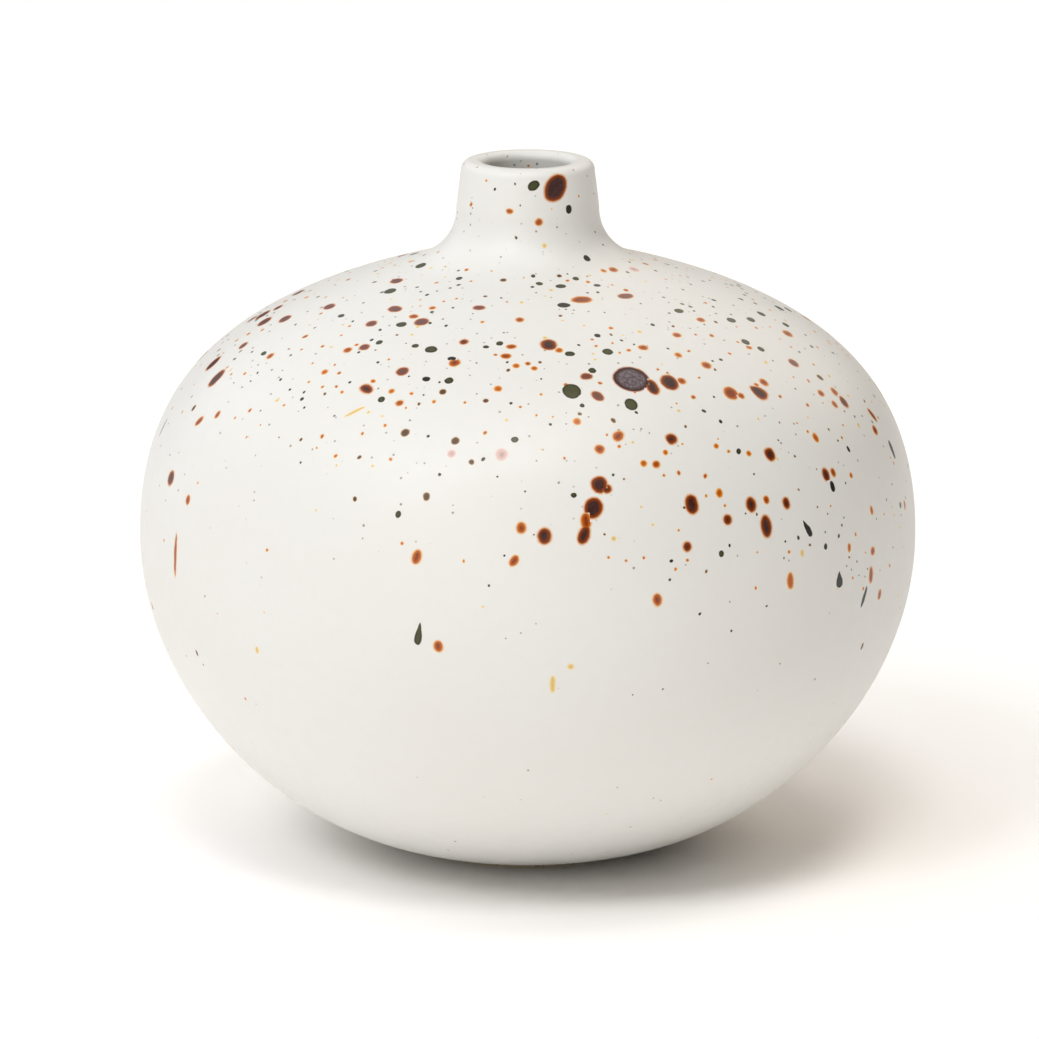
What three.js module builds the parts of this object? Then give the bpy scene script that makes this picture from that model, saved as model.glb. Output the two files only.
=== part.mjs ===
// Ceramic bud vase: a squat, round-bellied body with a short narrow neck.
// Millimetres, +Z up, origin at the centre of the ring that it stands on.
// The clay is four pieces luted to each other on level faces (foot ring, lower bowl, shoulder dome
// and neck collar), and two coats of glaze close it: one outside and over the lip, one inside.
import * as THREE from "three";

// Driving dimensions of the finished, glazed surface.
const BELLY_RADIUS = 60; // the widest line
const BELLY_HEIGHT = 49.5;
const UNDERSIDE_RADIUS = 18.5; // where the bowl turns in towards the foot
const UNDERSIDE_HEIGHT = 1.2;
const UNDERSIDE_SLOPE = 8; // degrees that the bowl rises there
const SHOULDER_RADIUS = 19; // where the dome turns up into the neck
const SHOULDER_HEIGHT = 91.6;
const SHOULDER_SLOPE = 15; // degrees that the dome falls away there
const NECK_ROOT_RADIUS = 10.95; // where the flare ends and the neck is straight
const NECK_ROOT_HEIGHT = 100.5;
const NECK_TOP_RADIUS = 10.25;
const RIM_HEIGHT = 107.7;
const LIP_OUTER_ROUND = 1.5;
const LIP_INNER_ROUND = 1.2;
const FLOOR_HEIGHT = 6.2; // inside, at the centre

// How far each handle of the outline's curves reaches.
const UNDERSIDE_REACH = 21;
const BELLY_REACH = 24;
const SHOULDER_REACH = 28;
const FLARE_REACH = 4.5;
const NECK_REACH = 5;

// The layers of the wall, and where its pieces meet.
const WALL = 3.6; // clay and both coats together
const COAT = 0.4;
const COAT_GAP = 0.05; // keeps each coat clear of the clay
const COLLAR_SEAM_HEIGHT = 95; // the neck collar is luted to the dome here
const COAT_SEAM_HEIGHT = 103; // the two coats meet here, inside the throat

// The foot ring is bare clay.
const FOOT_OUTER_RADIUS = 17.5;
const FOOT_INNER_RADIUS = 13;
const FOOT_ROUND = 0.5;

const CLAY = { color: "#d9cdbb", roughness: 0.9, metalness: 0 };
const OUTER_COAT = { color: "#f1efe9", roughness: 0.45, metalness: 0 };
const LINER_COAT = { color: "#e6e3da", roughness: 0.3, metalness: 0 };

const FACETS_ROUND = 40; // round the axis
const CURVE_STEPS = 8; // along the belly, and along the dome
const FLARE_STEPS = 4;
const LIP_STEPS = 3;
const FOOT_STEPS = 2;
const LEVEL_SNAP = 0.1; // a point this near to a seam's level is moved onto it

// An outline is a list of points (radius, height). It runs with the solid on its left, so up the
// outside and down the inside.
const point = (radius, height) => new THREE.Vector2(radius, height);

// The point a given distance from start, in a direction in degrees above level.
function reach(start, distance, degrees) {
  const angle = THREE.MathUtils.degToRad(degrees);
  return point(start.x + distance * Math.cos(angle), start.y + distance * Math.sin(angle));
}

// A smooth stretch of outline from start to end, steered by two handles.
function sweep(start, startHandle, endHandle, end, steps) {
  return new THREE.CubicBezierCurve(start, startHandle, endHandle, end).getPoints(steps);
}

// A rounded corner: a quarter turn about a centre, from a direction in degrees.
function quarterRound(centre, radius, fromDegrees, steps) {
  return Array.from({ length: steps + 1 }, (_, step) =>
    reach(centre, radius, fromDegrees + (90 * step) / steps),
  );
}

// Joins stretches of outline, leaving out the points that two of them share.
function chain(...stretches) {
  const joined = [];
  for (const next of stretches.flat()) {
    if (!joined.length || joined.at(-1).distanceTo(next) > 1e-6) joined.push(next);
  }
  return joined;
}

// The outline moved into the solid by a distance.
function inset(outline, distance) {
  return outline.map((here, index) => {
    const before = outline[Math.max(index - 1, 0)];
    const after = outline[Math.min(index + 1, outline.length - 1)];
    const along = after.clone().sub(before).normalize();
    const radius = here.x - along.y * distance;
    return point(here.x === 0 ? 0 : radius, here.y + along.x * distance);
  });
}

// Gives the outline a point wherever it crosses a level.
function markLevel(outline, height) {
  const snapped = outline.map((p) => point(p.x, Math.abs(p.y - height) < LEVEL_SNAP ? height : p.y));
  const marked = [];
  for (const [index, here] of snapped.entries()) {
    const before = snapped[index - 1];
    if (before && (before.y - height) * (here.y - height) < 0) {
      marked.push(before.clone().lerp(here, (height - before.y) / (here.y - before.y)).setY(height));
    }
    marked.push(here);
  }
  return marked;
}

// The outline of the finished surface: from the foot up the belly, dome and neck, over the lip, and
// down the inside to the centre of the floor.
function finishedOutline() {
  const underside = point(UNDERSIDE_RADIUS, UNDERSIDE_HEIGHT);
  const belly = point(BELLY_RADIUS, BELLY_HEIGHT);
  const shoulder = point(SHOULDER_RADIUS, SHOULDER_HEIGHT);
  const neckRoot = point(NECK_ROOT_RADIUS, NECK_ROOT_HEIGHT);
  const throatRadius = NECK_TOP_RADIUS - WALL;

  const body = chain(
    sweep(
      underside,
      reach(underside, UNDERSIDE_REACH, UNDERSIDE_SLOPE),
      reach(belly, BELLY_REACH, -90),
      belly,
      CURVE_STEPS,
    ),
    sweep(
      belly,
      reach(belly, BELLY_REACH, 90),
      reach(shoulder, SHOULDER_REACH, -SHOULDER_SLOPE),
      shoulder,
      CURVE_STEPS,
    ),
    sweep(
      shoulder,
      reach(shoulder, FLARE_REACH, 180 - SHOULDER_SLOPE),
      reach(neckRoot, NECK_REACH, -90),
      neckRoot,
      FLARE_STEPS,
    ),
  );
  const lip = chain(
    quarterRound(
      point(NECK_TOP_RADIUS - LIP_OUTER_ROUND, RIM_HEIGHT - LIP_OUTER_ROUND),
      LIP_OUTER_ROUND,
      0,
      LIP_STEPS,
    ),
    quarterRound(
      point(throatRadius + LIP_INNER_ROUND, RIM_HEIGHT - LIP_INNER_ROUND),
      LIP_INNER_ROUND,
      90,
      LIP_STEPS,
    ),
  );
  const cavity = inset(body, WALL).filter((p) => p.y > FLOOR_HEIGHT + COAT);
  return chain(body, lip, cavity.reverse(), [point(0, FLOOR_HEIGHT)]);
}

// Splits an outline at the top of the lip, after marking the seams on it.
function sidesOf(outline) {
  const marked = [BELLY_HEIGHT, COLLAR_SEAM_HEIGHT, COAT_SEAM_HEIGHT].reduce(markLevel, outline);
  const rim = Math.max(...marked.map((p) => p.y));
  const top = marked.findIndex((p) => p.y === rim);
  return { outside: marked.slice(0, top + 1), inside: marked.slice(top) };
}

// The points of an outline from one level up to another.
function between(outline, low, high) {
  return outline.filter((p) => p.y >= low && p.y <= high);
}

const finished = sidesOf(finishedOutline());
const coatBack = sidesOf(inset(finishedOutline(), COAT));
const clay = sidesOf(inset(finishedOutline(), COAT + COAT_GAP));
const footTop = clay.outside[0].y; // the bowl's level underside, which sits on the foot ring

// A solid of revolution about +Z. An outline that starts off the axis closes on itself.
function revolve(name, outline, look) {
  const closed = outline[0].x > 0 ? [...outline, outline[0]] : outline;
  const geometry = new THREE.LatheGeometry(closed, FACETS_ROUND);
  geometry.rotateX(Math.PI / 2);
  const mesh = new THREE.Mesh(geometry, new THREE.MeshStandardMaterial(look));
  mesh.name = name;
  return mesh;
}

function footRing() {
  const innerRound = point(FOOT_INNER_RADIUS + FOOT_ROUND, FOOT_ROUND);
  const outerRound = point(FOOT_OUTER_RADIUS - FOOT_ROUND, FOOT_ROUND);
  const outline = chain(
    [point(FOOT_INNER_RADIUS, footTop)],
    quarterRound(innerRound, FOOT_ROUND, 180, FOOT_STEPS),
    quarterRound(outerRound, FOOT_ROUND, 270, FOOT_STEPS),
    [point(FOOT_OUTER_RADIUS, footTop)],
  );
  return revolve("foot_ring", outline, CLAY);
}

function lowerBowl() {
  const outline = chain(
    [point(0, footTop)],
    between(clay.outside, footTop, BELLY_HEIGHT),
    between(clay.inside, footTop, BELLY_HEIGHT),
  );
  return revolve("lower_bowl", outline, CLAY);
}

// A piece of the wall between two seams.
function wallRing(name, low, high) {
  return revolve(name, chain(between(clay.outside, low, high), between(clay.inside, low, high)), CLAY);
}

// The outer coat runs from the foot over the lip and a little way into the throat.
function outerGlaze() {
  const front = chain(finished.outside, between(finished.inside, COAT_SEAM_HEIGHT, RIM_HEIGHT));
  const back = chain(coatBack.outside, between(coatBack.inside, COAT_SEAM_HEIGHT, RIM_HEIGHT));
  return revolve("outer_glaze", chain(front, back.reverse()), OUTER_COAT);
}

// The liner coat makes the clay hold water. It runs from the throat to the centre of the floor.
function linerGlaze() {
  const front = between(finished.inside, 0, COAT_SEAM_HEIGHT);
  const back = between(coatBack.inside, 0, COAT_SEAM_HEIGHT);
  return revolve("liner_glaze", chain(front, back.reverse()), LINER_COAT);
}

const vase = new THREE.Group();
vase.add(
  footRing(),
  lowerBowl(),
  wallRing("shoulder_dome", BELLY_HEIGHT, COLLAR_SEAM_HEIGHT),
  wallRing("neck_collar", COLLAR_SEAM_HEIGHT, RIM_HEIGHT),
  outerGlaze(),
  linerGlaze(),
);

export default vase;
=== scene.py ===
"""Ceramic bud vase: a thrown stoneware body under a matt white glaze splashed with iron.

Metres in the CAD frame, +Z up, the front towards -Y. Sizes named in millimetres are turned to
metres where a mesh is made.
"""

import math
import random

import bpy
import numpy as np
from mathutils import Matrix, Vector


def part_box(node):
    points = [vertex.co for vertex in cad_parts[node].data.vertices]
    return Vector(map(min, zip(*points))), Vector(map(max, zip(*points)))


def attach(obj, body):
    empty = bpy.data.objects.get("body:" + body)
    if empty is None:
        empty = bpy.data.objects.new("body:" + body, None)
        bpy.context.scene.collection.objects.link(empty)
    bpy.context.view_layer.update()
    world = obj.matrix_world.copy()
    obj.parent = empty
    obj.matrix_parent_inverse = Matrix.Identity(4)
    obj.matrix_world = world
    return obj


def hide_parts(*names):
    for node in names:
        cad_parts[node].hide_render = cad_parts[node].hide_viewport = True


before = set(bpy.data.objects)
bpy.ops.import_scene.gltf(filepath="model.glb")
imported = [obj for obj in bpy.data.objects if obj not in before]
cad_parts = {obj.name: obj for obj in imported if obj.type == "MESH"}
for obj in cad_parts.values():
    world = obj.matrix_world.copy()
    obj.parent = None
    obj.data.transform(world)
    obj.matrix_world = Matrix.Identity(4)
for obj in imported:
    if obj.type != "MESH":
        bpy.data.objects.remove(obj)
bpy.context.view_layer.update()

MM = 0.001


def millimetres(node, corner, axis):
    """One coordinate of a CAD node's box: corner 0 is the lowest and 1 the highest."""
    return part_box(node)[corner][axis] / MM


# Sizes of the finished, glazed surface, in millimetres, read from the CAD where its boxes give them.
BELLY_RADIUS = millimetres("outer_glaze", 1, 0)
RIM_HEIGHT = millimetres("outer_glaze", 1, 2)
UNDERSIDE_HEIGHT = millimetres("outer_glaze", 0, 2)
BELLY_HEIGHT = millimetres("lower_bowl", 1, 2)
COLLAR_SEAM_HEIGHT = millimetres("shoulder_dome", 1, 2)
COAT_SEAM_HEIGHT = millimetres("liner_glaze", 1, 2)
BOWL_BASE_HEIGHT = millimetres("lower_bowl", 0, 2)
FOOT_OUTER_RADIUS = millimetres("foot_ring", 1, 0)
FOOT_INNER_RADIUS = 13
FOOT_ROUND = 0.5
UNDERSIDE_RADIUS = 18.5
UNDERSIDE_SLOPE = 8  # degrees that the bowl rises as it leaves the foot
SHOULDER_RADIUS = 19
SHOULDER_HEIGHT = 91.6
SHOULDER_SLOPE = 15  # degrees that the dome falls away from the neck
NECK_ROOT_RADIUS = 10.95
NECK_ROOT_HEIGHT = 100.5
NECK_TOP_RADIUS = 10.25
LIP_OUTER_ROUND = 1.5
LIP_INNER_ROUND = 1.2
FLOOR_HEIGHT = 6.2
UNDERSIDE_REACH = 21
BELLY_REACH = 24
SHOULDER_REACH = 28
FLARE_REACH = 4.5
NECK_REACH = 5
WALL = 3.6
COAT = 0.4
COAT_GAP = 0.05

# The outer coat is made in bands, bottom to top, so that each keeps its marks sharp.
BOWL_BAND_TOP = 40
BELLY_BAND_TOP = 74

# How finely the pieces are made. Spacings are along the outline, and are in millimetres like the
# merge distance.
OUTLINE_STEP = 0.05  # every piece's outline is picked from points this far apart
SWEEP_POINTS = 600
ROUND_STEPS = 60  # in a quarter turn
FOOT_ROUND_STEPS = 6
BACK_SPACING = 2.5  # on a coat's hidden back
CLAY_SPACING = 1.5
LINER_SPACING = 1.2
OUTER_FACETS = 480  # round the axis
LINER_FACETS = 240
CLAY_FACETS = 180
SHARP_ANGLE = 40  # a fold steeper than this many degrees stays sharp
MERGE_DISTANCE = 0.002  # closes the seam and the poles of a thrown form

# How each kind of mark in the glaze is coloured, from its middle outwards, and in millimetres about
# how deep its rim colour goes and how far its halo bleeds into the white.
MARKS = {
    "bloom": ("#56464c", "#3a1b16", "#b5571a", 0.50, 0.42),
    "iron": ("#3d1d16", "#84360a", "#e0912f", 0.32, 0.50),
    "rust": ("#84380c", "#bb5a10", "#edb154", 0.30, 0.45),
    "orange": ("#b9570c", "#d97b1a", "#f0c573", 0.20, 0.34),
    "brown": ("#553a1b", "#6f4921", "#c49e68", 0.20, 0.22),
    "olive": ("#43451f", "#1f210f", "#7f8063", 0.20, 0.12),
    "black": ("#1f1a13", "#120f0b", "#706a61", 0.12, 0.10),
    "mauve": ("#6a4440", "#8c4526", "#dd9a62", 0.30, 0.40),
    "yellow": ("#e2bd6c", "#ecd08e", "#f2e3bd", 0.20, 0.36),
    "pink": ("#c59a95", "#dcb9ae", "#efdcd2", 0.45, 0.45),
}

# The larger marks: degrees round from the front (to the right is positive), height, width, length,
# degrees of lean (clockwise) and how much the top of it narrows.
SPLASHES = {
    "bloom": [
        (20.8, 82, 5.2, 4.9, 0, 0),
    ],
    "iron": [
        (24, 105, 3.1, 4.1, 35, 0), (5, 86.1, 2.1, 2.4, 0, 0), (24.3, 80.9, 1.6, 2.8, 0, 0),
        (28.3, 81.2, 2.4, 2.9, 0, 0), (66.5, 74.3, 1.4, 1.8, 0, 0),
        (46, 78.5, 2, 2.8, -35, 0.35), (-31.7, 80.2, 2.2, 1.3, 20, 0),
        (-72, 76.8, 2.2, 3.2, 0, 0), (-80, 77.6, 2, 2.8, 0, 0), (24, 74.5, 1.5, 1.4, 0, 0),
        (41, 70.8, 1.6, 1.8, 0, 0), (10.8, 69.3, 2.1, 2.3, 0, 0), (11.9, 68.7, 1.1, 1.1, 0, 0),
        (9.6, 66.2, 2.4, 2.9, 25, 0), (8, 62.5, 1.4, 2.5, 25, 0), (2.3, 62.5, 1.7, 2.1, 0, 0),
        (24.8, 65.7, 1.8, 2.7, 0, 0), (30.3, 63, 1.1, 1.2, 0, 0), (34.8, 64.6, 1.5, 1.9, 0, 0),
        (41.3, 63.9, 1.1, 1.5, 0, 0), (36.8, 61.2, 1.6, 3, 0, 0), (51.3, 66.4, 1.3, 1.8, 0, 0),
        (23.3, 59.9, 1.1, 1.1, 0, 0), (-15.8, 86.2, 1, 1, 0, 0), (-68, 62.7, 2, 2, 0, 0),
    ],
    "rust": [
        (-15, 101.6, 0.9, 0.6, 0, 0), (9, 100, 0.9, 0.9, 0, 0), (20, 90.3, 3, 1.8, 0, 0),
        (52, 92.5, 1.5, 1, 0, 0), (-2.5, 88.6, 1, 1, 0, 0), (-35, 88.2, 1.3, 0.9, 0, 0),
        (-5, 84.9, 1.3, 1, 0, 0), (-4, 85.9, 1.2, 0.9, 0, 0), (27.5, 85.2, 1.3, 1, 0, 0),
        (39, 86, 1.2, 1, 0, 0), (51.5, 86.9, 1.3, 1, 0, 0), (-43, 84, 1.2, 1, 0, 0),
        (-16, 84, 1.4, 1.5, 0, 0), (31, 81.2, 1.1, 1.1, 0, 0), (39.7, 79, 2.2, 2.2, 0, 0),
        (-62, 81.3, 1, 1, 0, 0), (39, 82.5, 1.3, 1.2, 0, 0), (73, 83, 1.8, 1.4, 0, 0),
        (41.5, 78.5, 0.9, 0.9, 0, 0), (49, 79.4, 1.2, 1.2, 0, 0), (-23.7, 79, 0.9, 0.9, 0, 0),
        (61.5, 76.3, 1.2, 1, 0, 0), (66, 75.8, 1.2, 1.4, 0, 0), (63, 74.5, 1, 1, 0, 0),
        (15, 75.4, 1.2, 1.7, 45, 0), (11.5, 73.9, 1.2, 1.2, 0, 0), (-66.5, 71.5, 1, 1.8, 40, 0),
        (20.3, 71.5, 0.95, 0.95, 0, 0), (8.4, 64.4, 1.3, 2.2, 0, 0), (-1, 63.6, 1.2, 1.4, 0, 0),
        (-2, 59, 1, 1.5, 35, 0), (-60.5, 61, 1, 1.25, 0, 0), (37.7, 64.9, 0.8, 1, 0, 0),
        (53.2, 66.4, 0.9, 1.1, 0, 0), (71.5, 69.2, 1.3, 1.3, 0, 0), (-16, 59, 1.2, 1.9, 15, 0),
        (75, 57, 0.9, 1.2, 0, 0), (60, 53.3, 1, 1, 0, 0), (59.3, 49.8, 1, 2.3, 0, 0),
        (62.5, 46, 0.9, 1.4, 0, 0), (18.4, 52.5, 1.1, 1.7, -15, 0), (-62.5, 52.2, 0.7, 6.2, 0, 0),
        (-12.7, 45.9, 1.1, 1.5, 0, 0), (74, 71, 0.9, 2.4, -20, 0), (-62, 73.2, 0.8, 1.1, 0, 0),
    ],
    "orange": [
        (45, 92.6, 0.8, 0.8, 0, 0), (-32, 89.2, 0.9, 0.9, 0, 0), (7.2, 85.5, 1, 1, 0, 0),
        (34.5, 84, 1, 1, 0, 0), (54.5, 83.3, 0.9, 0.9, 0, 0), (-2.6, 83.9, 0.9, 0.9, 0, 0),
        (1.3, 83.6, 0.8, 0.8, 0, 0), (-5.8, 81.3, 1, 1, 0, 0), (-43.5, 81.3, 0.9, 0.9, 0, 0),
        (8.4, 77.4, 1, 1, 0, 0), (18.3, 71.7, 0.85, 0.85, 0, 0), (31.5, 73, 0.7, 0.7, 0, 0),
        (22.3, 72.9, 0.7, 0.7, 0, 0), (37, 71.4, 0.7, 0.7, 0, 0), (52.5, 71.5, 1, 1.4, 0, 0),
        (29.7, 66.8, 0.9, 1.2, 0, 0), (61, 59.3, 0.8, 1.2, 0, 0), (53.5, 55.2, 0.7, 1.2, 0, 0),
        (40.4, 52.6, 1.1, 2.3, 0, 0), (57.5, 65.2, 0.7, 0.7, 0, 0), (-26.3, 80.3, 0.8, 0.8, 0, 0),
    ],
    "brown": [
        (-12.5, 92.2, 0.8, 0.8, 0, 0), (-20.8, 75.5, 1.2, 1.2, 0, 0), (-12, 74.9, 1.1, 1.1, 0, 0),
        (65.5, 77.9, 0.9, 1.2, -35, 0), (-71.5, 72.5, 0.8, 1, 0, 0), (-15.3, 67.5, 0.9, 1.1, 0, 0),
        (-26.5, 66.3, 0.6, 0.6, 0, 0), (-7.8, 79.9, 0.7, 0.7, 0, 0), (-16.3, 80.7, 0.9, 0.9, 0, 0),
        (-8.9, 72.3, 0.7, 0.7, 0, 0), (-59, 37.5, 0.5, 1, 0, 0), (59.5, 38.5, 0.6, 1.1, 0, 0),
    ],
    "olive": [
        (5, 105.5, 1.3, 1.9, 60, 0), (5.5, 91.9, 1, 1, 0, 0), (15, 91.6, 1.5, 1.2, 0, 0),
        (25, 92.2, 0.9, 0.9, 0, 0), (49, 88.1, 1.6, 1.2, 0, 0), (-36, 92, 0.9, 0.9, 0, 0),
        (-57, 89.9, 2, 1.7, 0, 0), (-72, 92.2, 2, 1.6, 0, 0), (-36, 87.3, 1.6, 1.3, 0, 0),
        (-58, 86.9, 1.2, 0.9, 0, 0), (-22.8, 85.2, 1.9, 1.5, 0, 0), (-27.2, 85.4, 1.1, 0.9, 0, 0),
        (-10, 85.8, 0.9, 0.7, 0, 0), (-7, 86.2, 1, 1, 0, 0), (9.6, 85.1, 1.4, 1.1, 0, 0),
        (61, 86.1, 1.7, 1.3, 0, 0), (68, 85.5, 1.6, 1.3, 0, 0), (76, 85.4, 1.5, 1.4, 0, 0),
        (-37, 85.3, 1, 1, 0, 0), (8.3, 81, 2.7, 2.9, 0, 0), (18.5, 85.1, 1.5, 1.4, 0, 0),
        (13.4, 83.2, 1.1, 1.1, 0, 0), (-15.8, 82, 1.2, 1.2, 0, 0), (-65, 81.3, 1.3, 0.8, 0, 0),
        (55.5, 83.9, 1.4, 1.3, 0, 0), (57.3, 82.8, 1.1, 1.1, 0, 0), (78, 83.6, 1.4, 1.2, 0, 0),
        (18.8, 79.1, 1.9, 2.1, 0, 0), (-27.5, 79.2, 1, 1, 0, 0), (-2.2, 75.3, 1, 1, 0, 0),
        (35.2, 71.9, 0.7, 1, 35, 0), (6.8, 68, 0.75, 0.75, 0, 0), (-19.3, 64.8, 0.8, 1, 0, 0),
        (28.6, 58.3, 0.8, 0.9, 0, 0), (72.5, 57.6, 0.9, 0.9, 0, 0), (-15.5, 47.6, 0.95, 3.4, 8, 0.6),
    ],
    "black": [
        (35, 101.6, 1, 1.3, 0, 0), (41, 94.3, 1.1, 1.1, 0, 0), (32, 91.4, 1.1, 0.8, 0, 0),
        (12.5, 89.9, 1.8, 1.4, 0, 0), (18, 86.8, 0.9, 0.9, 0, 0), (-17, 84.4, 1.2, 0.9, 0, 0),
        (-20.5, 82, 1.2, 0.9, 0, 0), (9.8, 79.3, 0.7, 0.7, 0, 0),
        (75.5, 65.5, 1.2, 3, 0, 0), (52, 64.6, 1, 1.6, 0, 0), (59.5, 68.7, 0.6, 1, 0, 0),
        (44.6, 59.7, 0.9, 2.8, -27, 0.5), (50.8, 50.9, 1.3, 2.5, 0, 0.6),
        (57.5, 46.8, 0.7, 3.3, 25, 0), (48, 56.4, 0.7, 0.9, 0, 0), (-82, 67.5, 0.5, 3, 0, 0),
    ],
    "mauve": [
        (38, 90.2, 2.4, 1.4, 0, 0), (-16.5, 89.6, 1.6, 1.2, 0, 0), (-44, 88.6, 2.3, 1.5, 0, 0),
        (-64, 90.7, 2.2, 1.6, 0, 0), (-31, 87.8, 2, 1.9, 0, 0), (-45, 86.9, 1.6, 1.4, 0, 0),
        (-68, 87.2, 2, 1.6, 0, 0), (-76, 84.7, 2.2, 1.8, 0, 0), (-83, 83.4, 2.6, 2.2, 0, 0),
        (-39.5, 84.6, 1.5, 1.3, 0, 0), (-26.3, 82.6, 1.7, 1.6, 0, 0), (62, 80.4, 1.5, 1.6, -40, 0),
        (11.8, 82.6, 1.6, 1.2, 0, 0), (13, 80.3, 1.4, 1.9, -35, 0), (-76, 80.9, 1.4, 1.4, 0, 0),
    ],
    "yellow": [
        (-31.5, 77.4, 0.5, 3.2, 48, 0), (3.5, 40.3, 0.75, 2.6, 0, 0), (6, 43, 0.8, 0.8, 0, 0),
        (43, 56.3, 0.6, 1, 0, 0), (12.3, 61.8, 0.6, 0.6, 0, 0), (12, 96.5, 0.6, 0.6, 0, 0),
    ],
    "pink": [
        (66, 92, 1.4, 1.4, 0, 0), (-4.2, 73.4, 1.6, 1.6, 0, 0), (-12.3, 73.3, 1, 1, 0, 0),
    ],
}

# Small specks scattered all round: how many to a zone, its lowest and highest height, its degrees
# round from the front, and the widest speck in it.
SPECK_ZONES = [
    (30, 93, 106, -180, 180, 0.5),
    (480, 84, 93, -180, 180, 0.75),
    (360, 77, 84, -180, 180, 0.7),
    (110, 70, 77, -180, 180, 0.6),
    (90, 56, 76, 10, 85, 0.55),
    (40, 50, 70, -180, 180, 0.4),
    (25, 42, 58, 15, 85, 0.45),
    (30, 15, 50, -180, 180, 0.3),
]
SPECK_KINDS = ["olive", "olive", "black", "brown", "orange", "orange", "rust", "yellow"]
SMALLEST_SPECK = 0.22
SPECK_SPACING = 1.3  # least distance between the middles of two marks
SEED = 11

# How a mark lies on the surface. The distances are in millimetres.
SLOPE_POINTS = 4  # the surface's slope is taken this many outline points either way
NARROWEST = 0.25  # the least share of its breadth that a narrowing mark keeps
BAND_MARGIN = 6  # marks up to this far past a band's edge are tried on it

# A face further than MARK_REACH from a mark's middle, or deeper than MARK_DEPTH behind it, takes a
# mark within both if there is one. Where there is none the far mark still shows, which is a fault:
# the marks on the front of the neck show again on its back and inside the throat.
MARK_REACH = 12
MARK_DEPTH = 1.5

# The studio: a sheet of white paper, and soft lights so far off that only their direction counts.
# Each light has degrees round from the front, elevation, how many degrees wide it looks, strength
# and tint.
FLOOR_COLOUR = "#faf8f6"
FLOOR_LIFT = 1.13  # how many times its colour the sheet gives back, more than real paper can
FLOOR_HALF = 4.0  # metres
SOFTBOXES = [
    ("left softbox", -40, 45, 18, 0.57, "#f8fbff"),
    ("left overhead bank", -60, 62, 50, 0.90, "#f8fbff"),
    ("front overhead softbox", 0, 62, 18, 0.70, "#fffefd"),
    ("right overhead softbox", 60, 78, 18, 0.52, "#fff9f0"),
    ("low front panel", -25, 12, 50, 0.74, "#fffefb"),
    ("low left panel", -120, 12, 50, 0.38, "#f8fbff"),
    ("back left panel", -150, 38, 50, 0.43, "#f9fbff"),
    ("back right panel", 150, 38, 50, 0.78, "#fff3e4"),
]

# The camera looks down on the belly from a metre away. It aims a little to the left of the axis and
# above the belly's middle.
CAMERA_DISTANCE = 1.0  # metres
CAMERA_ELEVATION = 13.4  # degrees
CAMERA_LENS = 223.5  # millimetres, as are the three below
CAMERA_SENSOR = 36
AIM_ACROSS = -1.27
AIM_ABOVE = 1.53


def colour(hex_code, strength=1.0):
    """An sRGB hex colour as the linear colour that a socket takes."""
    channels = [int(hex_code[i:i + 2], 16) / 255 for i in (1, 3, 5)]
    linear = [c / 12.92 if c <= 0.04045 else ((c + 0.055) / 1.055) ** 2.4 for c in channels]
    return (*[c * strength for c in linear], 1.0)


def add_node(tree, kind, inputs=None, **settings):
    """Adds a node. Each input is a value, a socket to link, or a node whose first output is linked."""
    node = tree.nodes.new(kind)
    for name, value in settings.items():
        setattr(node, name, value)
    for key, value in (inputs or {}).items():
        if isinstance(value, bpy.types.Node):
            value = value.outputs[0]
        if isinstance(value, bpy.types.NodeSocket):
            tree.links.new(value, node.inputs[key])
        else:
            node.inputs[key].default_value = value
    return node


def new_material(name):
    material = bpy.data.materials.new(name)
    material.use_nodes = True
    material.node_tree.nodes.clear()
    return material


# ---------------------------------------------------------------- outlines

def reach(start, distance, degrees):
    """The point a given distance from start, in a direction in degrees above level."""
    angle = math.radians(degrees)
    return start + distance * np.array([math.cos(angle), math.sin(angle)])


def sweep(start, start_handle, end_handle, end):
    """A smooth stretch of outline, steered by two handles."""
    done = np.linspace(0, 1, SWEEP_POINTS)[:, None]
    left = 1 - done
    return (
        left**3 * start
        + 3 * left * left * done * start_handle
        + 3 * left * done * done * end_handle
        + done**3 * end
    )


def quarter_round(centre, radius, from_degrees, steps):
    """A rounded corner: a quarter turn about a centre, from a direction in degrees."""
    turns = [from_degrees + 90 * step / steps for step in range(steps + 1)]
    return np.array([reach(centre, radius, turn) for turn in turns])


def evenly_spaced(points, spacing):
    """The same outline with its points a given distance apart."""
    lengths = np.concatenate([[0], np.cumsum(np.linalg.norm(np.diff(points, axis=0), axis=1))])
    places = np.linspace(0, lengths[-1], max(2, round(lengths[-1] / spacing) + 1))
    return np.stack([np.interp(places, lengths, points[:, axis]) for axis in (0, 1)], axis=1)


def inset(outline, distance):
    """The outline moved into the clay, which lies on its left as it runs up the outside."""
    along = np.gradient(outline, axis=0)
    along /= np.linalg.norm(along, axis=1)[:, None]
    moved = outline + distance * np.stack([-along[:, 1], along[:, 0]], axis=1)
    moved[outline[:, 0] < 1e-6, 0] = 0
    return moved


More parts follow.
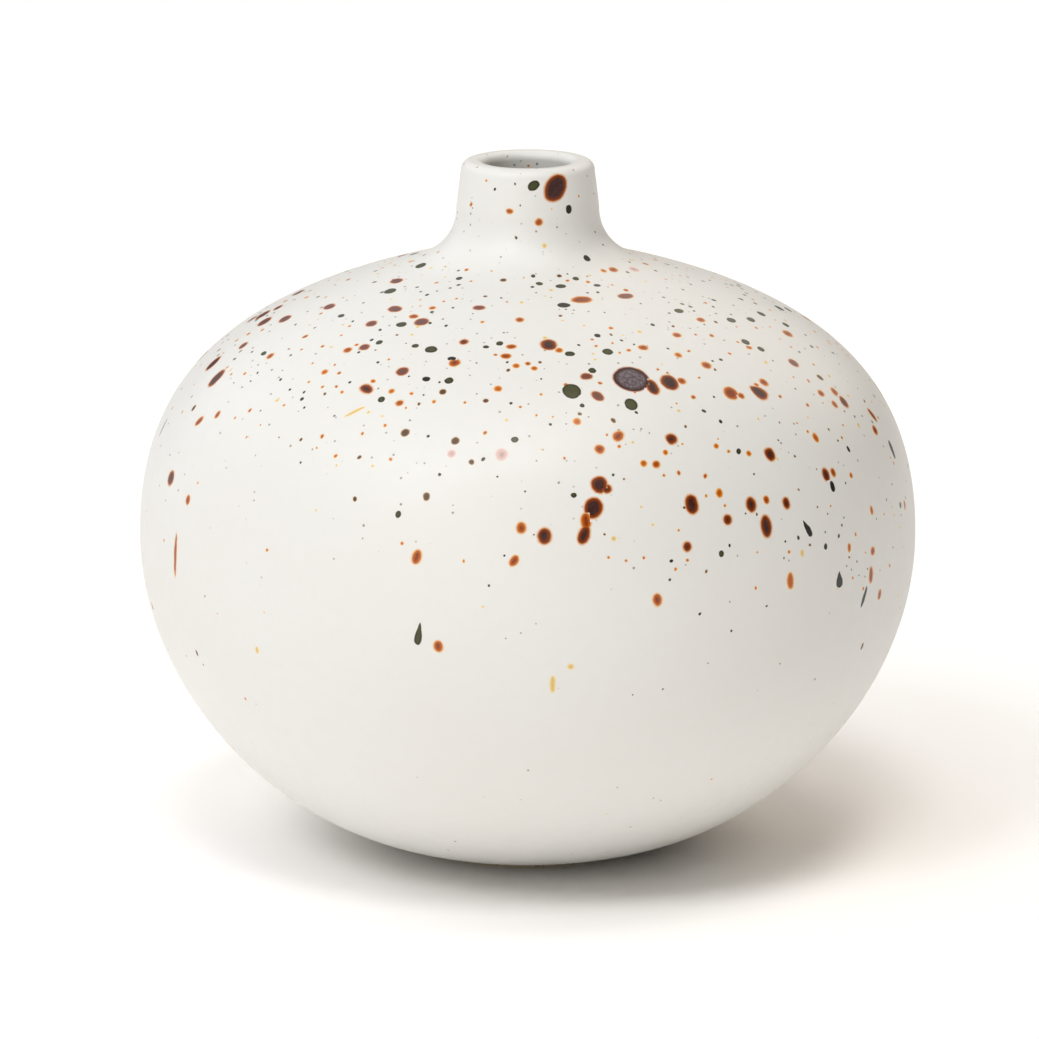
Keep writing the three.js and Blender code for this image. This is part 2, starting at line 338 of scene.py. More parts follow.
def finished_outline():
    """Radius and height from the foot up the outside, over the lip and down to the floor's middle."""
    underside = np.array([UNDERSIDE_RADIUS, UNDERSIDE_HEIGHT])
    belly = np.array([BELLY_RADIUS, BELLY_HEIGHT])
    shoulder = np.array([SHOULDER_RADIUS, SHOULDER_HEIGHT])
    neck_root = np.array([NECK_ROOT_RADIUS, NECK_ROOT_HEIGHT])
    outer_centre = np.array([NECK_TOP_RADIUS - LIP_OUTER_ROUND, RIM_HEIGHT - LIP_OUTER_ROUND])
    inner_centre = np.array([NECK_TOP_RADIUS - WALL + LIP_INNER_ROUND, RIM_HEIGHT - LIP_INNER_ROUND])
    bowl = sweep(
        underside,
        reach(underside, UNDERSIDE_REACH, UNDERSIDE_SLOPE),
        reach(belly, BELLY_REACH, -90),
        belly,
    )
    dome = sweep(
        belly,
        reach(belly, BELLY_REACH, 90),
        reach(shoulder, SHOULDER_REACH, -SHOULDER_SLOPE),
        shoulder,
    )
    flare = sweep(
        shoulder,
        reach(shoulder, FLARE_REACH, 180 - SHOULDER_SLOPE),
        reach(neck_root, NECK_REACH, -90),
        neck_root,
    )
    body = np.concatenate([bowl, dome[1:], flare[1:]])
    cavity = inset(body, WALL)
    cavity = cavity[cavity[:, 1] > FLOOR_HEIGHT + COAT]
    outside = np.concatenate([
        body,
        quarter_round(outer_centre, LIP_OUTER_ROUND, 0, ROUND_STEPS),
        quarter_round(inner_centre, LIP_INNER_ROUND, 90, ROUND_STEPS),
    ])
    return evenly_spaced(
        np.concatenate([outside, cavity[::-1], [[0, FLOOR_HEIGHT]]]),
        OUTLINE_STEP,
    )


finished = finished_outline()
coat_back = inset(finished, COAT)
clay_face = inset(finished, COAT + COAT_GAP)
rim_index = int(np.argmax(finished[:, 1]))
floor_index = len(finished) - 1


def outside_index(height):
    """Where the outline passes a height on its way up the outside."""
    return int(np.argmin(np.abs(finished[:rim_index, 1] - height)))


def inside_index(height):
    """Where the outline passes a height on its way down the inside."""
    return rim_index + int(np.argmin(np.abs(finished[rim_index:, 1] - height)))


def stretch(outline, first, last, spacing):
    """Part of an outline, with its points a given distance apart."""
    return evenly_spaced(outline[first:last + 1], spacing)


# ---------------------------------------------------------------- thrown forms

def thrown_form_tree():
    """Geometry nodes that turn an outline round the axis, as a wheel does."""
    tree = bpy.data.node_groups.new("thrown form", "GeometryNodeTree")
    for name, kind in (
        ("Outline", "NodeSocketObject"),
        ("Outline points", "NodeSocketInt"),
        ("Facets round", "NodeSocketInt"),
        ("Surface", "NodeSocketMaterial"),
    ):
        tree.interface.new_socket(name, in_out="INPUT", socket_type=kind)
    tree.interface.new_socket("Geometry", in_out="OUTPUT", socket_type="NodeSocketGeometry")

    given = add_node(tree, "NodeGroupInput").outputs
    outline = add_node(tree, "GeometryNodeObjectInfo", {0: given["Outline"]}).outputs["Geometry"]
    columns = add_node(tree, "ShaderNodeMath", {0: given["Facets round"], 1: 1.0}, operation="ADD")
    sheet = add_node(tree, "GeometryNodeMeshGrid", {
        "Size X": 1.0,
        "Size Y": 1.0,
        "Vertices X": columns,
        "Vertices Y": given["Outline points"],
    })
    place = add_node(tree, "GeometryNodeInputPosition")
    flat = add_node(tree, "ShaderNodeSeparateXYZ", {0: place})
    turn = add_node(tree, "ShaderNodeMath", {0: flat.outputs[0], 1: 2 * math.pi}, operation="MULTIPLY")
    share = add_node(tree, "ShaderNodeMath", {0: flat.outputs[1], 1: 0.5}, operation="ADD")
    last = add_node(
        tree, "ShaderNodeMath", {0: given["Outline points"], 1: 1.0}, operation="SUBTRACT",
    )
    row = add_node(tree, "ShaderNodeMath", {0: share, 1: last}, operation="MULTIPLY")
    whole_row = add_node(tree, "ShaderNodeMath", {0: row}, operation="ROUND")
    picked = add_node(
        tree,
        "GeometryNodeSampleIndex",
        {"Geometry": outline, "Value": place, "Index": whole_row},
        data_type="FLOAT_VECTOR",
    )
    turned = add_node(
        tree,
        "ShaderNodeVectorRotate",
        {"Vector": picked, "Angle": turn},
        rotation_type="Z_AXIS",
    )
    thrown = add_node(tree, "GeometryNodeSetPosition", {"Geometry": sheet, "Position": turned})
    closed = add_node(
        tree,
        "GeometryNodeMergeByDistance",
        {"Geometry": thrown, "Distance": MERGE_DISTANCE * MM},
    )
    smooth = add_node(tree, "GeometryNodeSetShadeSmooth", {"Geometry": closed})
    whole = add_node(tree, "GeometryNodeRealizeInstances", {"Geometry": smooth})
    coated = add_node(
        tree, "GeometryNodeSetMaterial", {"Geometry": whole, "Material": given["Surface"]},
    )
    add_node(tree, "NodeGroupOutput", {0: coated})
    return tree


thrown_form = thrown_form_tree()


def throw(name, outline, facets, surface):
    """A closed piece of revolution from an outline in millimetres. One that starts off the axis is
    joined to its own start."""
    if outline[0, 0] > 1e-6:
        outline = np.concatenate([outline, outline[:1]])
    mesh = bpy.data.meshes.new(name + " outline")
    mesh.from_pydata([(r * MM, 0, z * MM) for r, z in outline], [], [])
    guide = bpy.data.objects.new(name + " outline", mesh)
    piece = bpy.data.objects.new(name, bpy.data.meshes.new(name))
    for made in (guide, piece):
        bpy.context.scene.collection.objects.link(made)
    modifier = piece.modifiers.new("thrown", "NODES")
    modifier.node_group = thrown_form
    values = {
        "Outline": guide,
        "Outline points": len(outline),
        "Facets round": facets,
        "Surface": surface,
    }
    for item in thrown_form.interface.items_tree:
        if item.name in values:
            modifier[item.identifier] = values[item.name]
    evaluated = piece.evaluated_get(bpy.context.evaluated_depsgraph_get())
    finished_mesh = bpy.data.meshes.new_from_object(evaluated)
    piece.modifiers.clear()
    piece.data = finished_mesh
    bpy.data.objects.remove(guide)
    finished_mesh.set_sharp_from_angle(angle=math.radians(SHARP_ANGLE))
    return piece


# ---------------------------------------------------------------- marks in the glaze

def mark_on_surface(degrees, height, width, length, lean, narrowing, kind):
    """A mark's place and directions in metres. Across and along are divided by its half sizes."""
    index = outside_index(height)
    radius = finished[index, 0]
    climb = finished[min(index + SLOPE_POINTS, rim_index)] - finished[index - SLOPE_POINTS]
    climb /= np.linalg.norm(climb)
    angle = math.radians(degrees)
    outward = np.array([math.sin(angle), -math.cos(angle), 0])
    rightward = np.array([math.cos(angle), math.sin(angle), 0])
    upward = outward * climb[0] + np.array([0, 0, climb[1]])
    tilt = math.radians(lean)
    along = upward * math.cos(tilt) + rightward * math.sin(tilt)
    across = rightward * math.cos(tilt) - upward * math.sin(tilt)
    core, rim, halo, rim_depth, halo_reach = MARKS[kind]
    # A drop under about a millimetre holds too little iron to spread as far as a large one.
    bleed = min(1, 0.3 + 0.6 * min(width, length))
    return {
        "centre": (outward * radius + np.array([0, 0, height])) * MM,
        "across": across / (width / 2 * MM),
        "along": along / (length / 2 * MM),
        "look": (rim_depth * bleed, halo_reach * bleed, narrowing),
        "core": colour(core)[:3],
        "rim": colour(rim)[:3],
        "halo": colour(halo)[:3],
    }


def placed_splashes():
    """The larger marks on the front, and those below the neck again round the back, mirrored,
    spread a little wider and shaken out of step."""
    shake = random.Random(SEED)
    front = [(*splash, kind) for kind, splashes in SPLASHES.items() for splash in splashes]
    marks = [mark_on_surface(*splash) for splash in front]
    for degrees, height, width, length, lean, narrowing, kind in front:
        if height > SHOULDER_HEIGHT:
            continue
        size = shake.uniform(0.75, 1.15)
        marks.append(mark_on_surface(
            180 - degrees * 1.1 + shake.uniform(-7, 7),
            height + shake.uniform(-1.8, 1.8),
            width * size,
            length * size,
            -lean,
            narrowing,
            kind,
        ))
    return marks


def scattered_specks(taken):
    """Small specks at random, kept clear of each other."""
    chance = random.Random(SEED)
    marks = []
    kept = np.array([mark["centre"] for mark in taken])
    for count, low, high, left, right, widest in SPECK_ZONES:
        for _ in range(count):
            size = chance.triangular(SMALLEST_SPECK, widest, SMALLEST_SPECK)
            length = size * chance.uniform(0.9, 1.5)
            mark = mark_on_surface(
                chance.uniform(left, right),
                chance.uniform(low, high),
                size,
                length,
                chance.uniform(-60, 60),
                0,
                chance.choice(SPECK_KINDS),
            )
            gaps = np.linalg.norm(kept - mark["centre"], axis=1)
            if gaps.min() > SPECK_SPACING * MM:
                kept = np.vstack([kept, mark["centre"]])
                marks.append(mark)
    return marks


def distance_to_mark(points, mark):
    """Signed distance in metres from each point to a mark's edge, negative inside it. A point too
    far from the mark or too deep behind it gets a metre more, so that any other mark is nearer."""
    offsets = points - mark["centre"]
    up = offsets @ mark["along"]
    side = offsets @ mark["across"] / np.maximum(1 - mark["look"][2] * up, NARROWEST)
    wide, tall = np.linalg.norm(mark["across"]), np.linalg.norm(mark["along"])
    ratio = np.maximum(np.hypot(side, up), 1e-6)
    slope = np.hypot(side * wide, up * tall) / ratio
    distance = (ratio - 1) / np.maximum(slope, min(wide, tall))
    depth = np.abs(offsets @ np.cross(mark["across"], mark["along"])) / (wide * tall)
    too_far = (np.linalg.norm(offsets, axis=1) > MARK_REACH * MM) | (depth > MARK_DEPTH * MM)
    distance[too_far] += 1
    return distance


def write_marks(piece, layer, marks):
    """Gives every face of a piece the nearest mark of a layer, for the glaze to draw."""
    mesh = piece.data
    points = np.zeros(len(mesh.polygons) * 3)
    mesh.polygons.foreach_get("center", points)
    points = points.reshape(-1, 3)
    nearest = np.zeros(len(points), int)
    best = np.full(len(points), np.inf)
    low = points[:, 2].min() - BAND_MARGIN * MM
    high = points[:, 2].max() + BAND_MARGIN * MM
    for number, mark in enumerate(marks):
        if low < mark["centre"][2] < high:
            distance = distance_to_mark(points, mark)
            closer = distance < best
            best[closer] = distance[closer]
            nearest[closer] = number
    for part in ("centre", "across", "along", "look", "core", "rim", "halo"):
        values = np.array([mark[part] for mark in marks])[nearest]
        attribute = mesh.attributes.new(f"{layer} {part}", "FLOAT_VECTOR", "FACE")
        attribute.data.foreach_set("vector", values.astype(np.float32).ravel())


# ---------------------------------------------------------------- finishes

def mark_group():
    """Shader nodes that draw one mark from its place, directions and colours."""
    tree = bpy.data.node_groups.new("mark in the glaze", "ShaderNodeTree")
    for name in ("Point", "Centre", "Across", "Along", "Look", "Core", "Rim", "Halo"):
        tree.interface.new_socket(name, in_out="INPUT", socket_type="NodeSocketVector")
    tree.interface.new_socket("Colour", in_out="OUTPUT", socket_type="NodeSocketColor")
    for name in ("Cover", "Middle"):
        tree.interface.new_socket(name, in_out="OUTPUT", socket_type="NodeSocketFloat")

    given = add_node(tree, "NodeGroupInput").outputs
    look = add_node(tree, "ShaderNodeSeparateXYZ", {0: given["Look"]}).outputs
    offset = add_node(
        tree, "ShaderNodeVectorMath", {0: given["Point"], 1: given["Centre"]}, operation="SUBTRACT",
    )
    up = add_node(
        tree, "ShaderNodeVectorMath", {0: offset, 1: given["Along"]}, operation="DOT_PRODUCT",
    ).outputs["Value"]
    side = add_node(
        tree, "ShaderNodeVectorMath", {0: offset, 1: given["Across"]}, operation="DOT_PRODUCT",
    ).outputs["Value"]
    narrowed = add_node(tree, "ShaderNodeMath", {0: up, 1: look[2]}, operation="MULTIPLY")
    breadth = add_node(tree, "ShaderNodeMath", {0: 1.0, 1: narrowed}, operation="SUBTRACT")
    breadth = add_node(tree, "ShaderNodeMath", {0: breadth, 1: NARROWEST}, operation="MAXIMUM")
    side = add_node(tree, "ShaderNodeMath", {0: side, 1: breadth}, operation="DIVIDE")
    wide = add_node(
        tree, "ShaderNodeVectorMath", {0: given["Across"]}, operation="LENGTH",
    ).outputs["Value"]
    tall = add_node(
        tree, "ShaderNodeVectorMath", {0: given["Along"]}, operation="LENGTH",
    ).outputs["Value"]
    spot = add_node(tree, "ShaderNodeCombineXYZ", {0: side, 1: up})
    scales = add_node(tree, "ShaderNodeCombineXYZ", {0: wide, 1: tall})
    ratio = add_node(tree, "ShaderNodeVectorMath", {0: spot}, operation="LENGTH").outputs["Value"]
    ratio = add_node(tree, "ShaderNodeMath", {0: ratio, 1: 1e-4}, operation="MAXIMUM")
    scaled = add_node(tree, "ShaderNodeVectorMath", {0: spot, 1: scales}, operation="MULTIPLY")
    slope = add_node(tree, "ShaderNodeVectorMath", {0: scaled}, operation="LENGTH").outputs["Value"]
    slope = add_node(tree, "ShaderNodeMath", {0: slope, 1: ratio}, operation="DIVIDE")
    least = add_node(tree, "ShaderNodeMath", {0: wide, 1: tall}, operation="MINIMUM")
    slope = add_node(tree, "ShaderNodeMath", {0: slope, 1: least}, operation="MAXIMUM")
    beyond = add_node(tree, "ShaderNodeMath", {0: ratio, 1: 1.0}, operation="SUBTRACT")
    beyond = add_node(tree, "ShaderNodeMath", {0: beyond, 1: 1 / MM}, operation="MULTIPLY")
    distance = add_node(tree, "ShaderNodeMath", {0: beyond, 1: slope}, operation="DIVIDE")

    # The core turns to the rim's colour on the way out, then to the halo's, which fades away.
    depth = add_node(tree, "ShaderNodeMath", {0: look[0], 1: -1.6}, operation="MULTIPLY")
    shallow = add_node(tree, "ShaderNodeMath", {0: look[0], 1: -0.45}, operation="MULTIPLY")
    bleed = add_node(tree, "ShaderNodeMath", {0: look[1], 1: 0.45}, operation="MULTIPLY")
    to_rim = add_node(tree, "ShaderNodeMapRange", {0: distance, 1: depth, 2: shallow})
    to_halo = add_node(tree, "ShaderNodeMapRange", {0: distance, 1: -0.05, 2: bleed})
    fade = add_node(
        tree,
        "ShaderNodeMapRange",
        {0: distance, 1: 0.0, 2: look[1], 3: 1.0, 4: 0.0},
        interpolation_type="SMOOTHSTEP",
    )
    inner = add_node(
        tree,
        "ShaderNodeMix",
        {0: to_rim, 6: given["Core"], 7: given["Rim"]},
        data_type="RGBA",
    ).outputs[2]
    tone = add_node(
        tree, "ShaderNodeMix", {0: to_halo, 6: inner, 7: given["Halo"]}, data_type="RGBA",
    ).outputs[2]

    # The deeper a mark's rim goes, the more of a crust its middle grows.
    thick = add_node(tree, "ShaderNodeMapRange", {0: look[0], 1: 0.3, 2: 0.5})
    inner_share = add_node(tree, "ShaderNodeMath", {0: 1.0, 1: to_rim}, operation="SUBTRACT")
    middle = add_node(tree, "ShaderNodeMath", {0: inner_share, 1: thick}, operation="MULTIPLY")
    add_node(tree, "NodeGroupOutput", {"Colour": tone, "Cover": fade, "Middle": middle})
    return tree


def splashed_white_glaze():
    """Matt white stoneware glaze over iron-bearing spots, brushed and dipped, fired to stoneware.

    It gives the eye a warm white with a soft sheen. Iron burns through it as dark red-brown drops
    with rust rims and amber halos, and as olive, mauve and orange freckles, thickest on the
    shoulder."""
    material = new_material("iron-splashed matt white glaze")
    tree = material.node_tree
    place = add_node(tree, "ShaderNodeTexCoord").outputs["Object"]
    height = add_node(tree, "ShaderNodeSeparateXYZ", {0: place}).outputs[2]
    draw = mark_group()

    # The edges of marks wander by about a tenth of a millimetre, in lobes about a millimetre long.
    ragged = add_node(
        tree, "ShaderNodeTexNoise", {"Vector": place, "Scale": 1 / (1.3 * MM), "Detail": 3.0},
    ).outputs["Color"]
    centred = add_node(
        tree, "ShaderNodeVectorMath", {0: ragged, 1: (0.5, 0.5, 0.5)}, operation="SUBTRACT",
    )
    wander = add_node(
        tree, "ShaderNodeVectorMath", {0: centred, "Scale": 0.36 * MM}, operation="SCALE",
    )
    point = add_node(tree, "ShaderNodeVectorMath", {0: place, 1: wander}, operation="ADD")

    # The white itself clouds over 30 mm and is faintly curdled at 2 mm.
    clouds = add_node(
        tree, "ShaderNodeTexNoise", {"Vector": place, "Scale": 1 / (30 * MM), "Detail": 2.0},
    )
    curds = add_node(
        tree, "ShaderNodeTexNoise", {"Vector": place, "Scale": 1 / (2 * MM), "Detail": 3.0},
    )
    clouded = add_node(tree, "ShaderNodeMapRange", {0: clouds, 1: 0.35, 2: 0.65})
    curdled = add_node(tree, "ShaderNodeMapRange", {0: curds, 1: 0.3, 2: 0.7, 3: 0.0, 4: 0.35})
    white = add_node(
        tree,
        "ShaderNodeMix",
        {0: clouded, 6: colour("#eae8e3"), 7: colour("#ebeae6")},
        data_type="RGBA",
    ).outputs[2]
    white = add_node(
        tree, "ShaderNodeMix", {0: curdled, 6: white, 7: colour("#e8e6df")}, data_type="RGBA",
    ).outputs[2]

    # Dust specks up to 0.4 mm across, thick on the shoulder and thin below.
    cells = add_node(tree, "ShaderNodeTexVoronoi", {"Vector": point, "Scale": 1 / (1.1 * MM)})
    lots = add_node(tree, "ShaderNodeSeparateColor", {0: cells.outputs["Color"]}).outputs
    spread = add_node(
        tree, "ShaderNodeMapRange", {0: height, 1: 50 * MM, 2: 90 * MM, 3: 0.02, 4: 0.3},
    )
    chosen = add_node(tree, "ShaderNodeMath", {0: lots[0], 1: spread}, operation="LESS_THAN")
    edge = add_node(tree, "ShaderNodeMapRange", {0: lots[1], 1: 0.0, 2: 1.0, 3: 0.06, 4: 0.19})
    inside = add_node(
        tree, "ShaderNodeMath", {0: edge, 1: cells.outputs["Distance"]}, operation="SUBTRACT",
    )
    dot = add_node(tree, "ShaderNodeMapRange", {0: inside, 1: -0.05, 2: 0.05, 3: 0.0, 4: 0.75})
    dust = add_node(tree, "ShaderNodeMath", {0: dot, 1: chosen}, operation="MULTIPLY")
    dust_tone = add_node(
        tree,
        "ShaderNodeMix",
        {0: lots[2], 6: colour("#4c4a40"), 7: colour("#a08a68")},
        data_type="RGBA",
    ).outputs[2]
    tone = add_node(
        tree, "ShaderNodeMix", {0: dust, 6: white, 7: dust_tone}, data_type="RGBA",
    ).outputs[2]

    # The specks are drawn over the dust, and the larger splashes over the specks.
    cover = dust
    drawn = {}
    for layer in ("speck", "splash"):
        mark = add_node(tree, "ShaderNodeGroup", node_tree=draw)
        tree.links.new(point.outputs[0], mark.inputs["Point"])
        for part in ("Centre", "Across", "Along", "Look", "Core", "Rim", "Halo"):
            stored = add_node(tree, "ShaderNodeAttribute", attribute_name=f"{layer} {part.lower()}")
            tree.links.new(stored.outputs["Vector"], mark.inputs[part])
        tone = add_node(
            tree,
            "ShaderNodeMix",
            {0: mark.outputs["Cover"], 6: tone, 7: mark.outputs["Colour"]},
            data_type="RGBA",
        ).outputs[2]
        cover = add_node(
            tree, "ShaderNodeMath", {0: cover, 1: mark.outputs["Cover"]}, operation="MAXIMUM",
        )
        drawn[layer] = mark.outputs

    # Iron that pooled thick has cooled to a grey crystal crust, in grains of up to half a millimetre.
    grains = add_node(
        tree, "ShaderNodeTexNoise", {"Vector": place, "Scale": 1 / (0.5 * MM), "Detail": 4.0},
    )
    crystals = add_node(tree, "ShaderNodeMapRange", {0: grains, 1: 0.42, 2: 0.62, 3: 0.0, 4: 0.55})
    crust = add_node(
        tree, "ShaderNodeMath", {0: crystals, 1: drawn["splash"]["Middle"]}, operation="MULTIPLY",
    )
    crust = add_node(
        tree, "ShaderNodeMath", {0: crust, 1: drawn["splash"]["Cover"]}, operation="MULTIPLY",
    )
    tone = add_node(
        tree, "ShaderNodeMix", {0: crust, 6: tone, 7: colour("#91878c")}, data_type="RGBA",
    ).outputs[2]

    # The white is satin. Marks are a little glossier where iron has fluxed the glaze.
    sheen = add_node(tree, "ShaderNodeMapRange", {0: curds, 1: 0.3, 2: 0.7, 3: 0.4, 4: 0.5})
    gloss = add_node(tree, "ShaderNodeMath", {0: cover, 1: -0.12}, operation="MULTIPLY")
    roughness = add_node(tree, "ShaderNodeMath", {0: sheen, 1: gloss}, operation="ADD")

    # Orange peel a few hundredths of a millimetre deep over 4 mm, and a step up onto each mark.
    peel = add_node(
        tree, "ShaderNodeTexNoise", {"Vector": place, "Scale": 1 / (4 * MM), "Detail": 2.0},
    )
    rise = add_node(tree, "ShaderNodeMath", {0: cover, 1: 0.6}, operation="MULTIPLY")
    relief = add_node(tree, "ShaderNodeMath", {0: peel, 1: rise}, operation="ADD")
    relief = add_node(tree, "ShaderNodeMath", {0: relief, 1: crust}, operation="SUBTRACT")
    surface = add_node(
        tree, "ShaderNodeBump", {"Height": relief, "Strength": 0.5, "Distance": 0.05 * MM},
    )
    shader = add_node(tree, "ShaderNodeBsdfPrincipled", {
        "Base Color": tone,
        "Roughness": roughness,
        "Normal": surface,
        "IOR": 1.5,
    })
    add_node(tree, "ShaderNodeOutputMaterial", {"Surface": shader})
    return material


def liner_glaze():
    """White liner glaze, poured in and out: shinier than the outer coat, and a little darker in
    clouds about 12 mm across."""
    material = new_material("white liner glaze")
    tree = material.node_tree
    place = add_node(tree, "ShaderNodeTexCoord").outputs["Object"]
    pools = add_node(
        tree, "ShaderNodeTexNoise", {"Vector": place, "Scale": 1 / (12 * MM), "Detail": 3.0},
    )
    tone = add_node(
        tree,
        "ShaderNodeMix",
        {0: pools, 6: colour("#dcd8cc"), 7: colour("#e8e4da")},
        data_type="RGBA",
    ).outputs[2]
    roughness = add_node(tree, "ShaderNodeMapRange", {0: pools, 1: 0.3, 2: 0.7, 3: 0.22, 4: 0.34})
    surface = add_node(
        tree, "ShaderNodeBump", {"Height": pools, "Strength": 0.5, "Distance": 0.1 * MM},
    )
    shader = add_node(tree, "ShaderNodeBsdfPrincipled", {
        "Base Color": tone,
        "Roughness": roughness,
        "Normal": surface,
        "IOR": 1.52,
    })
    add_node(tree, "ShaderNodeOutputMaterial", {"Surface": shader})
    return material


def bare_stoneware():
    """Unglazed buff stoneware, turned and sponged smooth: a dry, chalky buff with darker grog a
    little under a millimetre across."""
    material = new_material("bare buff stoneware")
    tree = material.node_tree
    place = add_node(tree, "ShaderNodeTexCoord").outputs["Object"]
    grog = add_node(tree, "ShaderNodeTexVoronoi", {"Vector": place, "Scale": 1 / (0.8 * MM)})
    grain = add_node(
        tree, "ShaderNodeTexNoise", {"Vector": place, "Scale": 1 / (0.4 * MM), "Detail": 5.0},
    )
    shade = add_node(tree, "ShaderNodeSeparateColor", {0: grog.outputs["Color"]}).outputs[0]
    body = add_node(
        tree,
        "ShaderNodeMix",
        {0: grain, 6: colour("#b9a78f"), 7: colour("#ddd0bb")},
        data_type="RGBA",
    ).outputs[2]
    flecked = add_node(tree, "ShaderNodeMapRange", {0: shade, 1: 0.8, 2: 0.95, 3: 0.0, 4: 0.6})
    tone = add_node(
        tree, "ShaderNodeMix", {0: flecked, 6: body, 7: colour("#8d7458")}, data_type="RGBA",
    ).outputs[2]
    roughness = add_node(tree, "ShaderNodeMapRange", {0: grain, 1: 0.3, 2: 0.7, 3: 0.84, 4: 0.96})
    surface = add_node(
        tree, "ShaderNodeBump", {"Height": grain, "Strength": 0.6, "Distance": 0.08 * MM},
    )
    shader = add_node(tree, "ShaderNodeBsdfPrincipled", {
        "Base Color": tone,
        "Roughness": roughness,
        "Normal": surface,
        "IOR": 1.5,
    })
    add_node(tree, "ShaderNodeOutputMaterial", {"Surface": shader})
    return material


# ---------------------------------------------------------------- pieces

splashed_glaze = splashed_white_glaze()
lining = liner_glaze()
stoneware = bare_stoneware()
splash_marks = placed_splashes()
speck_marks = scattered_specks(splash_marks)


def coat_outline(first, last, front_spacing):
    """A closed outline of the coat between two places: its front, then its back."""
    front = stretch(finished, first, last, front_spacing)
    back = stretch(coat_back, first, last, BACK_SPACING)
    return np.concatenate([front, back[::-1]])


def wall_outline(low, high):
    """A closed outline of the clay wall between two heights: its outside, then its inside."""
    outside = stretch(clay_face, outside_index(low), outside_index(high), CLAY_SPACING)
    inside = stretch(clay_face, inside_index(high), inside_index(low), CLAY_SPACING)
    return np.concatenate([outside, inside])


def foot_outline():
    """The foot ring's outline: level on top, with both lower edges rounded."""
    inner_round = np.array([FOOT_INNER_RADIUS + FOOT_ROUND, FOOT_ROUND])
    outer_round = np.array([FOOT_OUTER_RADIUS - FOOT_ROUND, FOOT_ROUND])
    return np.concatenate([
        [[FOOT_INNER_RADIUS, BOWL_BASE_HEIGHT]],
        quarter_round(inner_round, FOOT_ROUND, 180, FOOT_ROUND_STEPS),
        quarter_round(outer_round, FOOT_ROUND, 270, FOOT_ROUND_STEPS),
        [[FOOT_OUTER_RADIUS, BOWL_BASE_HEIGHT]],
    ])


def bowl_outline():
    """The bowl is a solid bottom, so its outline starts and ends on the axis."""
    start = int(np.argmax(clay_face[:, 1] >= BOWL_BASE_HEIGHT - 1e-4))
    outside = stretch(clay_face, start, outside_index(BELLY_HEIGHT), CLAY_SPACING)
    outside[0, 1] = BOWL_BASE_HEIGHT
    inside = stretch(clay_face, inside_index(BELLY_HEIGHT), floor_index, CLAY_SPACING)
    return np.concatenate([[[0, BOWL_BASE_HEIGHT]], outside, inside])


# Each band of the outer coat: where its front starts and ends on the outline, and its spacing.
OUTER_BANDS = [
    ("outer_glaze_bowl", 0, outside_index(BOWL_BAND_TOP), 0.75),
    ("outer_glaze_belly", outside_index(BOWL_BAND_TOP), outside_index(BELLY_BAND_TOP), 0.7),
    ("outer_glaze_shoulder", outside_index(BELLY_BAND_TOP), outside_index(COLLAR_SEAM_HEIGHT), 0.6),
    ("outer_glaze_neck", outside_index(COLLAR_SEAM_HEIGHT), inside_index(COAT_SEAM_HEIGHT), 0.25),
]

for name, first, last, spacing in OUTER_BANDS:
    band = throw(name, coat_outline(first, last, spacing), OUTER_FACETS, splashed_glaze)
    write_marks(band, "splash", splash_marks)
    write_marks(band, "speck", speck_marks)
    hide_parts("outer_glaze")
    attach(band, "root")

liner = throw(
    "liner",
    coat_outline(inside_index(COAT_SEAM_HEIGHT), floor_index, LINER_SPACING),
    LINER_FACETS,
    lining,
)
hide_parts("liner_glaze")
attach(liner, "root")

CLAY_PIECES = {
    "foot_ring": foot_outline(),
    "lower_bowl": bowl_outline(),
    "shoulder_dome": wall_outline(BELLY_HEIGHT, COLLAR_SEAM_HEIGHT),
    "neck_collar": wall_outline(COLLAR_SEAM_HEIGHT, RIM_HEIGHT),
}

for node, outline in CLAY_PIECES.items():
    section = throw("clay_" + node, outline, CLAY_FACETS, stoneware)
    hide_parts(node)
    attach(section, "root")


# ---------------------------------------------------------------- studio

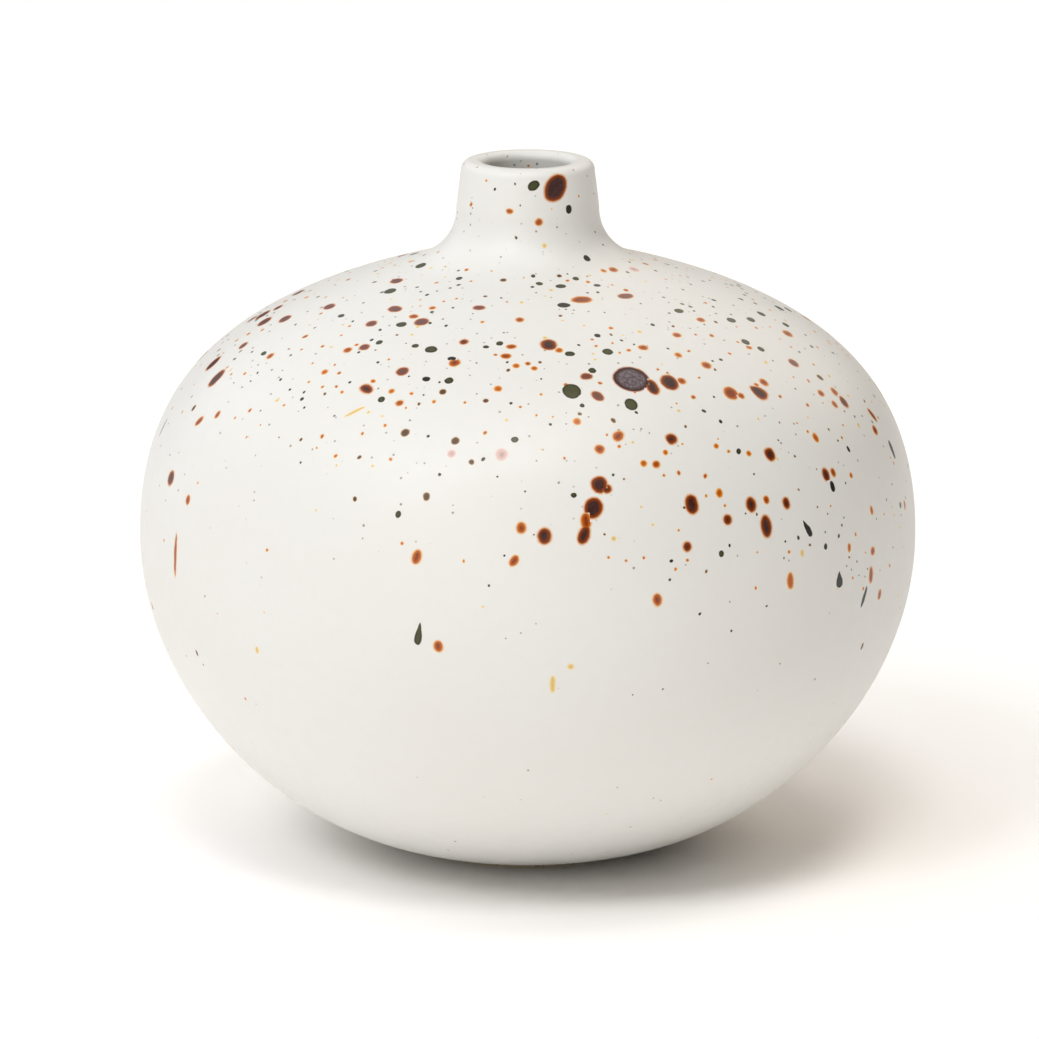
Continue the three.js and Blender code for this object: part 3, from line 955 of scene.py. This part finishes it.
def white_floor():
    """A plain white sheet. It is clear from below, so that the foot can be seen."""
    material = new_material("white paper floor")
    tree = material.node_tree
    paper = add_node(tree, "ShaderNodeBsdfDiffuse", {"Color": colour(FLOOR_COLOUR, FLOOR_LIFT)})
    clear = add_node(tree, "ShaderNodeBsdfTransparent")
    side = add_node(tree, "ShaderNodeNewGeometry").outputs["Backfacing"]
    sheet = add_node(tree, "ShaderNodeMixShader", {0: side, 1: paper, 2: clear})
    add_node(tree, "ShaderNodeOutputMaterial", {"Surface": sheet})
    mesh = bpy.data.meshes.new("floor")
    corners = [(-1, -1), (1, -1), (1, 1), (-1, 1)]
    mesh.from_pydata([(FLOOR_HALF * x, FLOOR_HALF * y, 0) for x, y in corners], [], [(0, 1, 2, 3)])
    mesh.materials.append(material)
    floor = bpy.data.objects.new("floor", mesh)
    bpy.context.scene.collection.objects.link(floor)


def softbox(name, degrees, elevation, spread, strength, tint="#ffffff"):
    """A large soft light, so far off that its light falls evenly."""
    light = bpy.data.lights.new(name, "SUN")
    light.energy = strength
    light.angle = math.radians(spread)
    light.color = colour(tint)[:3]
    lamp = bpy.data.objects.new(name, light)
    azimuth, tilt = math.radians(degrees), math.radians(elevation)
    towards = Vector((
        math.sin(azimuth) * math.cos(tilt),
        -math.cos(azimuth) * math.cos(tilt),
        math.sin(tilt),
    ))
    lamp.rotation_mode = "QUATERNION"
    lamp.rotation_quaternion = towards.to_track_quat("Z", "Y")
    bpy.context.scene.collection.objects.link(lamp)


white_floor()
for box in SOFTBOXES:
    softbox(*box)

# The wall behind is white to the eye and lights nothing.
world = bpy.data.worlds.new("white studio")
world.use_nodes = True
world.node_tree.nodes.clear()
seen = add_node(world.node_tree, "ShaderNodeLightPath").outputs["Is Camera Ray"]
backdrop = add_node(
    world.node_tree, "ShaderNodeBackground", {"Color": colour("#ffffff"), "Strength": seen},
)
add_node(world.node_tree, "ShaderNodeOutputWorld", {"Surface": backdrop})
bpy.context.scene.world = world

camera_data = bpy.data.cameras.new("camera")
camera_data.sensor_width = CAMERA_SENSOR
camera_data.lens = CAMERA_LENS
camera = bpy.data.objects.new("camera", camera_data)
bpy.context.scene.collection.objects.link(camera)
down = math.radians(CAMERA_ELEVATION)
back = Vector((0, -math.cos(down), math.sin(down)))
above = Vector((0, math.sin(down), math.cos(down)))
target = Vector((AIM_ACROSS * MM, 0, BELLY_HEIGHT * MM)) + above * AIM_ABOVE * MM
camera.location = target + back * CAMERA_DISTANCE
camera.rotation_mode = "QUATERNION"
camera.rotation_quaternion = (-back).to_track_quat("-Z", "Y")
camera_data.clip_start = 0.01
camera_data.clip_end = 20
bpy.context.scene.camera = camera
bpy.context.scene.view_settings.view_transform = "Standard"
